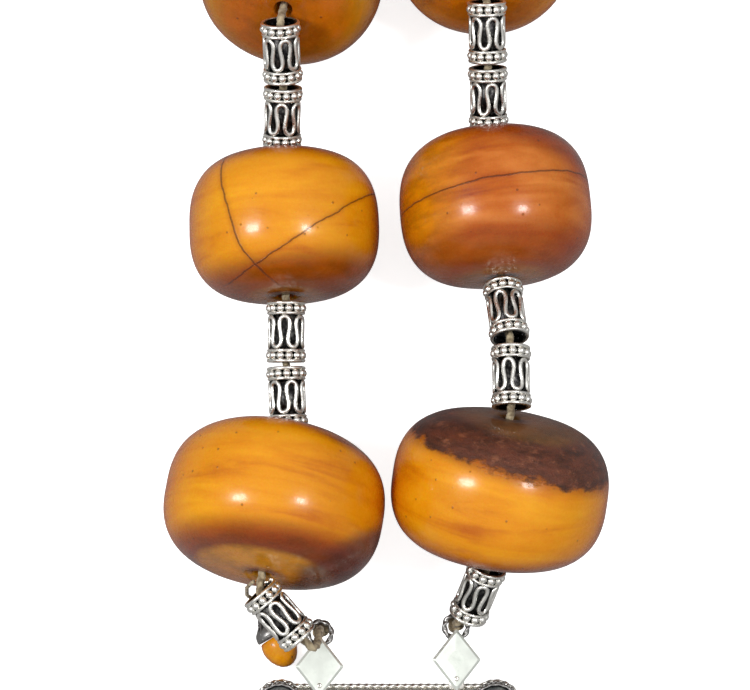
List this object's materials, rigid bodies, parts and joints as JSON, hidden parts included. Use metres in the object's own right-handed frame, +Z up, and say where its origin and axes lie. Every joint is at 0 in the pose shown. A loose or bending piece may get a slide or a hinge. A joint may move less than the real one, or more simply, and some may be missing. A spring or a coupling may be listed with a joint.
{
  "type": "prayer bead strand",
  "caption": "Closed strand of large amber prayer beads with silver tube spacers, joined at a flat silver amulet; it lies flat, and its beads turn and its arms spread.",
  "frame": {"origin": "centre of the amulet's flat back, on the table", "axes": "+Z up from the table; +Y along the strand from the amulet towards the top bead; +X to the right seen from above"},
  "size_m": [0.1004, 0.3094, 0.0398],
  "materials": {
    "amber": "polished old amber resin, golden yellow to red-brown, with cracks and dark patches",
    "silver": "antique silver, bright on the raised wire and nearly black in the recesses",
    "dark_silver": "heavily oxidised silver wire",
    "polished_silver": "smooth, bright, slightly worn silver plate",
    "dark_stone": "polished dark grey stone",
    "cord": "twisted waxed cotton cord"
  },
  "bodies": {
    "amulet": {"amulet_back": "silver", "amulet_case": "silver", "amulet_border": "silver", "centre_bezel": "silver", "centre_stone": "amber", "shoulder_bezels": "silver", "shoulder_stones": "dark_stone", "lug_posts": "silver"},
    "lug_left": {"lug_left": "polished_silver", "lug_ring_left": "dark_silver"},
    "link_left_1": {"cord_left_1": "cord", "drop_thread": "cord"},
    "bead_left_1": {"bead_left_1": "amber"},
    "tube_lower_left_1": {"tube_lower_left_1": "silver"},
    "tube_upper_left_1": {"tube_upper_left_1": "silver"},
    "link_left_2": {"cord_left_2": "cord"},
    "bead_left_2": {"bead_left_2": "amber"},
    "tube_lower_left_2": {"tube_lower_left_2": "silver"},
    "tube_upper_left_2": {"tube_upper_left_2": "silver"},
    "link_left_3": {"cord_left_3": "cord"},
    "bead_left_3": {"bead_left_3": "amber"},
    "tube_lower_left_3": {"tube_lower_left_3": "silver"},
    "tube_upper_left_3": {"tube_upper_left_3": "silver"},
    "link_left_4": {"cord_left_4": "cord"},
    "bead_left_4": {"bead_left_4": "amber"},
    "tube_lower_left_4": {"tube_lower_left_4": "silver"},
    "tube_upper_left_4": {"tube_upper_left_4": "silver"},
    "link_left_5": {"cord_left_5": "cord"},
    "bead_left_5": {"bead_left_5": "amber"},
    "tube_lower_left_5": {"tube_lower_left_5": "silver"},
    "tube_upper_left_5": {"tube_upper_left_5": "silver"},
    "lug_right": {"lug_right": "polished_silver", "lug_ring_right": "dark_silver"},
    "link_right_1": {"cord_right_1": "cord"},
    "bead_right_1": {"bead_right_1": "amber"},
    "tube_lower_right_1": {"tube_lower_right_1": "silver"},
    "tube_upper_right_1": {"tube_upper_right_1": "silver"},
    "link_right_2": {"cord_right_2": "cord"},
    "bead_right_2": {"bead_right_2": "amber"},
    "tube_lower_right_2": {"tube_lower_right_2": "silver"},
    "tube_upper_right_2": {"tube_upper_right_2": "silver"},
    "link_right_3": {"cord_right_3": "cord"},
    "bead_right_3": {"bead_right_3": "amber"},
    "tube_lower_right_3": {"tube_lower_right_3": "silver"},
    "tube_upper_right_3": {"tube_upper_right_3": "silver"},
    "link_right_4": {"cord_right_4": "cord"},
    "bead_right_4": {"bead_right_4": "amber"},
    "tube_lower_right_4": {"tube_lower_right_4": "silver"},
    "tube_upper_right_4": {"tube_upper_right_4": "silver"},
    "link_right_5": {"cord_right_5": "cord"},
    "bead_right_5": {"bead_right_5": "amber"},
    "tube_lower_right_5": {"tube_lower_right_5": "silver"},
    "tube_upper_right_5": {"tube_upper_right_5": "silver"},
    "link_top": {"cord_top": "cord"},
    "bead_top": {"bead_top": "amber"},
    "tube_top_a": {"tube_top_a": "silver"},
    "tube_top_b": {"tube_top_b": "silver"},
    "drop": {"drop_ring": "dark_silver", "drop_cap": "dark_silver", "drop_stone": "amber"}
  },
  "joints": [
    {"name": "strand_open", "type": "hinge", "parent": "amulet", "child": "lug_left", "pos_m": [-0.0123, 0.0226, 0.0099], "axis": [0, 0, 1], "range_deg": [0, 5]},
    {"name": "flex_left_1", "type": "hinge", "parent": "lug_left", "child": "link_left_1", "pos_m": [-0.0123, 0.0319, 0.009], "axis": [0, 0, 1], "range_deg": [0, 3.4]},
    {"name": "flex_left_2", "type": "hinge", "parent": "link_left_1", "child": "link_left_2", "pos_m": [-0.01831, 0.07968, 0.0172], "axis": [0, 0, 1], "range_deg": [-4.25, 0]},
    {"name": "flex_left_3", "type": "hinge", "parent": "link_left_2", "child": "link_left_3", "pos_m": [-0.01896, 0.13043, 0.0215], "axis": [0, 0, 1], "range_deg": [-4.25, 0]},
    {"name": "flex_left_4", "type": "hinge", "parent": "link_left_3", "child": "link_left_4", "pos_m": [-0.01813, 0.17654, 0.0085], "axis": [0, 0, 1], "range_deg": [-4.25, 0]},
    {"name": "flex_left_5", "type": "hinge", "parent": "link_left_4", "child": "link_left_5", "pos_m": [-0.03542, 0.22084, 0.017], "axis": [0, 0, 1], "range_deg": [-6.29, 0]},
    {"name": "lug_swing_right", "type": "hinge", "parent": "amulet", "child": "lug_right", "pos_m": [0.0123, 0.0238, 0.0099], "axis": [0, 0, -1], "range_deg": [0, 5]},
    {"name": "flex_right_1", "type": "hinge", "parent": "lug_right", "child": "link_right_1", "pos_m": [0.0123, 0.0331, 0.009], "axis": [0, 0, -1], "range_deg": [0, 3.4]},
    {"name": "flex_right_2", "type": "hinge", "parent": "link_right_1", "child": "link_right_2", "pos_m": [0.02169, 0.08289, 0.023], "axis": [0, 0, -1], "range_deg": [-4.25, 0]},
    {"name": "flex_right_3", "type": "hinge", "parent": "link_right_2", "child": "link_right_3", "pos_m": [0.01809, 0.13412, 0.021], "axis": [0, 0, -1], "range_deg": [-4.25, 0]},
    {"name": "flex_right_4", "type": "hinge", "parent": "link_right_3", "child": "link_right_4", "pos_m": [0.02024, 0.18251, 0.009], "axis": [0, 0, -1], "range_deg": [-4.25, 0]},
    {"name": "flex_right_5", "type": "hinge", "parent": "link_right_4", "child": "link_right_5", "pos_m": [0.03825, 0.22691, 0.017], "axis": [0, 0, -1], "range_deg": [-7.14, 0]},
    {"name": "flex_top", "type": "hinge", "parent": "link_left_5", "child": "link_top", "pos_m": [-0.02275, 0.26647, 0.0132], "axis": [0, 0, 1], "range_deg": [0, 9.77]},
    {"name": "drop_swing", "type": "hinge", "parent": "link_left_1", "child": "drop", "pos_m": [-0.0242, 0.0366, 0.0037], "axis": [0, 0, 1], "range_deg": [-8, 25]},
    {"name": "bead_left_1_spin", "type": "hinge", "parent": "link_left_1", "child": "bead_left_1", "pos_m": [-0.02012, 0.05441, 0.01992], "axis": [0.1518, 0.9583, -0.2419], "continuous": true},
    {"name": "bead_left_2_spin", "type": "hinge", "parent": "link_left_2", "child": "bead_left_2", "pos_m": [-0.0188, 0.10494, 0.01752], "axis": [-0.0348, 0.997, -0.0698], "continuous": true},
    {"name": "bead_left_3_spin", "type": "hinge", "parent": "link_left_3", "child": "bead_left_3", "pos_m": [-0.01754, 0.15282, 0.01733], "axis": [0.1082, 0.7696, -0.6293], "continuous": true},
    {"name": "bead_left_4_spin", "type": "hinge", "parent": "link_left_4", "child": "bead_left_4", "pos_m": [-0.0268, 0.19802, 0.01566], "axis": [-0.3623, 0.8535, 0.3746], "continuous": true},
    {"name": "bead_left_5_spin", "type": "hinge", "parent": "link_left_5", "child": "bead_left_5", "pos_m": [-0.03388, 0.24473, 0.01456], "axis": [0.2244, 0.972, -0.0698], "continuous": true},
    {"name": "bead_right_1_spin", "type": "hinge", "parent": "link_right_1", "child": "bead_right_1", "pos_m": [0.01974, 0.05726, 0.01965], "axis": [0.1324, 0.9418, 0.309], "continuous": true},
    {"name": "bead_right_2_spin", "type": "hinge", "parent": "link_right_2", "child": "bead_right_2", "pos_m": [0.01952, 0.10838, 0.01769], "axis": [-0.0695, 0.9938, -0.0872], "continuous": true},
    {"name": "bead_right_3_spin", "type": "hinge", "parent": "link_right_3", "child": "bead_right_3", "pos_m": [0.01772, 0.15808, 0.01724], "axis": [0, 0.848, -0.5299], "continuous": true},
    {"name": "bead_right_4_spin", "type": "hinge", "parent": "link_right_4", "child": "bead_right_4", "pos_m": [0.02942, 0.20417, 0.01566], "axis": [0.3771, 0.847, 0.3746], "continuous": true},
    {"name": "bead_right_5_spin", "type": "hinge", "parent": "link_right_5", "child": "bead_right_5", "pos_m": [0.03694, 0.25078, 0.01456], "axis": [-0.2074, 0.9758, -0.0698], "continuous": true},
    {"name": "bead_top_spin", "type": "hinge", "parent": "link_top", "child": "bead_top", "pos_m": [0.0004, 0.27267, 0.01375], "axis": [0.9994, 0.0349, 0], "continuous": true},
    {"name": "tube_lower_left_1_spin", "type": "hinge", "parent": "link_left_1", "child": "tube_lower_left_1", "pos_m": [-0.01894, 0.03484, 0.02302], "axis": [-0.6616, 0.7348, 0.1492], "continuous": true},
    {"name": "tube_upper_left_1_spin", "type": "hinge", "parent": "link_left_1", "child": "tube_upper_left_1", "pos_m": [-0.01811, 0.0738, 0.01679], "axis": [-0.0348, 0.997, 0.0692], "continuous": true},
    {"name": "tube_lower_left_2_spin", "type": "hinge", "parent": "link_left_2", "child": "tube_lower_left_2", "pos_m": [-0.01831, 0.08555, 0.01787], "axis": [0, 0.9936, 0.1132], "continuous": true},
    {"name": "tube_upper_left_2_spin", "type": "hinge", "parent": "link_left_2", "child": "tube_upper_left_2", "pos_m": [-0.01915, 0.12498, 0.01886], "axis": [0.0314, 0.8994, 0.4359], "continuous": true},
    {"name": "tube_lower_left_3_spin", "type": "hinge", "parent": "link_left_3", "child": "tube_lower_left_3", "pos_m": [-0.01914, 0.13556, 0.02471], "axis": [-0.0296, 0.8476, 0.5298], "continuous": true},
    {"name": "tube_upper_left_3_spin", "type": "hinge", "parent": "link_left_3", "child": "tube_upper_left_3", "pos_m": [-0.0169, 0.17018, 0.00797], "axis": [-0.1902, 0.9784, 0.0811], "continuous": true},
    {"name": "tube_lower_left_4_spin", "type": "hinge", "parent": "link_left_4", "child": "tube_lower_left_4", "pos_m": [-0.02041, 0.18247, 0.00988], "axis": [-0.3502, 0.9124, 0.2116], "continuous": true},
    {"name": "tube_upper_left_4_spin", "type": "hinge", "parent": "link_left_4", "child": "tube_upper_left_4", "pos_m": [-0.03352, 0.21501, 0.01914], "axis": [-0.2918, 0.8981, -0.329], "continuous": true},
    {"name": "tube_lower_left_5_spin", "type": "hinge", "parent": "link_left_5", "child": "tube_lower_left_5", "pos_m": [-0.03609, 0.22725, 0.01615], "axis": [-0.1036, 0.9859, -0.1312], "continuous": true},
    {"name": "tube_upper_left_5_spin", "type": "hinge", "parent": "link_left_5", "child": "tube_upper_left_5", "pos_m": [-0.02729, 0.26142, 0.01345], "axis": [0.6687, 0.7426, -0.037], "continuous": true},
    {"name": "tube_lower_right_1_spin", "type": "hinge", "parent": "link_right_1", "child": "tube_lower_right_1", "pos_m": [0.01607, 0.03938, 0.01241], "axis": [0.3219, 0.7968, 0.5113], "continuous": true},
    {"name": "tube_upper_right_1_spin", "type": "hinge", "parent": "link_right_1", "child": "tube_upper_right_1", "pos_m": [0.02169, 0.07662, 0.02365], "axis": [0, 0.9947, -0.1025], "continuous": true},
    {"name": "tube_lower_right_2_spin", "type": "hinge", "parent": "link_right_2", "child": "tube_lower_right_2", "pos_m": [0.02107, 0.08878, 0.02084], "axis": [-0.0982, 0.9343, -0.3427], "continuous": true},
    {"name": "tube_upper_right_2_spin", "type": "hinge", "parent": "link_right_2", "child": "tube_upper_right_2", "pos_m": [0.01828, 0.12868, 0.01858], "axis": [-0.0319, 0.9134, 0.4059], "continuous": true},
    {"name": "tube_lower_right_3_spin", "type": "hinge", "parent": "link_right_3", "child": "tube_lower_right_3", "pos_m": [0.0179, 0.13956, 0.02344], "axis": [-0.0318, 0.9121, 0.4087], "continuous": true},
    {"name": "tube_upper_right_3_spin", "type": "hinge", "parent": "link_right_3", "child": "tube_upper_right_3", "pos_m": [0.01886, 0.17605, 0.0092], "axis": [0.2078, 0.9777, -0.0308], "continuous": true},
    {"name": "tube_lower_right_4_spin", "type": "hinge", "parent": "link_right_4", "child": "tube_lower_right_4", "pos_m": [0.02268, 0.18854, 0.01008], "axis": [0.3696, 0.9148, 0.1632], "continuous": true},
    {"name": "tube_upper_right_4_spin", "type": "hinge", "parent": "link_right_4", "child": "tube_upper_right_4", "pos_m": [0.03636, 0.22107, 0.01914], "axis": [0.2918, 0.898, -0.3292], "continuous": true},
    {"name": "tube_lower_right_5_spin", "type": "hinge", "parent": "link_right_5", "child": "tube_lower_right_5", "pos_m": [0.03893, 0.23332, 0.01614], "axis": [0.1036, 0.9859, -0.1315], "continuous": true},
    {"name": "tube_upper_right_5_spin", "type": "hinge", "parent": "link_right_5", "child": "tube_upper_right_5", "pos_m": [0.02994, 0.26744, 0.01343], "axis": [-0.7656, 0.6424, -0.0346], "continuous": true},
    {"name": "tube_top_a_spin", "type": "hinge", "parent": "link_top", "child": "tube_top_a", "pos_m": [-0.01675, 0.26966, 0.0135], "axis": [0.8821, 0.469, 0.0447], "continuous": true},
    {"name": "tube_top_b_spin", "type": "hinge", "parent": "link_top", "child": "tube_top_b", "pos_m": [0.01705, 0.27252, 0.01352], "axis": [0.9942, -0.0991, -0.0413], "continuous": true}
  ],
  "couplings": [
    {"joint": "flex_left_1", "follows": "strand_open", "ratio": 0.6667},
    {"joint": "flex_left_2", "follows": "strand_open", "ratio": -0.8333},
    {"joint": "flex_left_3", "follows": "strand_open", "ratio": -0.8333},
    {"joint": "flex_left_4", "follows": "strand_open", "ratio": -0.8333},
    {"joint": "flex_left_5", "follows": "strand_open", "ratio": -1.2333},
    {"joint": "lug_swing_right", "follows": "strand_open", "ratio": 1},
    {"joint": "flex_right_1", "follows": "strand_open", "ratio": 0.6667},
    {"joint": "flex_right_2", "follows": "strand_open", "ratio": -0.8333},
    {"joint": "flex_right_3", "follows": "strand_open", "ratio": -0.8333},
    {"joint": "flex_right_4", "follows": "strand_open", "ratio": -0.8333},
    {"joint": "flex_right_5", "follows": "strand_open", "ratio": -1.4},
    {"joint": "flex_top", "follows": "strand_open", "ratio": 1.9167}
  ]
}
